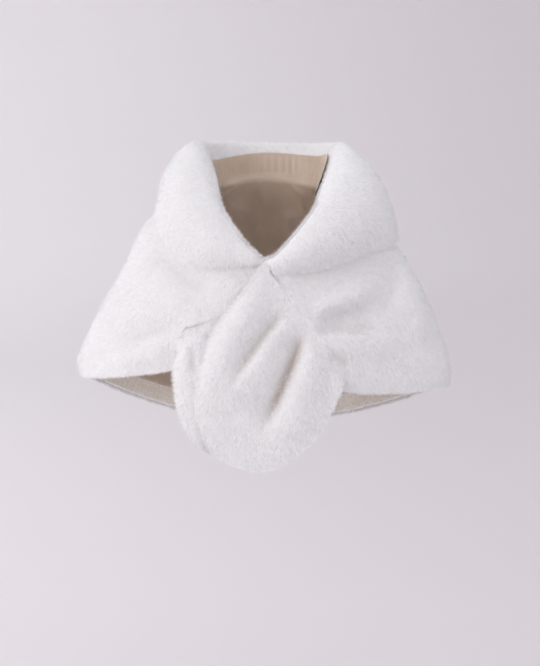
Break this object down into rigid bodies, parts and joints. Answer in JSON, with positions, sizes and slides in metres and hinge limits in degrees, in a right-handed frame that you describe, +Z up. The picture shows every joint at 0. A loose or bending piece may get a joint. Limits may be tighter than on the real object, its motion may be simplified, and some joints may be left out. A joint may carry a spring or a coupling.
{
  "type": "faux fur capelet",
  "caption": "Short faux fur capelet with a turned-over shawl collar and two pleated front ends that cross into rounded tabs, in its worn hollow shape.",
  "frame": {"origin": "centre of the base of the wearer's neck, between the shoulders, where the wearer holds the capelet up", "axes": "+X to the wearer's left, +Y to the wearer's back, +Z up"},
  "size_m": [0.7845, 0.3443, 0.6768],
  "materials": {
    "fur": "dense short plush pile, white, matt",
    "satin": "cream satin lining, soft sheen"
  },
  "bodies": {
    "root": {"back": "fur", "front_right": "fur", "front_left": "fur", "collar": "fur", "tab_over": "fur", "tab_under": "fur", "lining": "satin"}
  },
  "joints": []
}
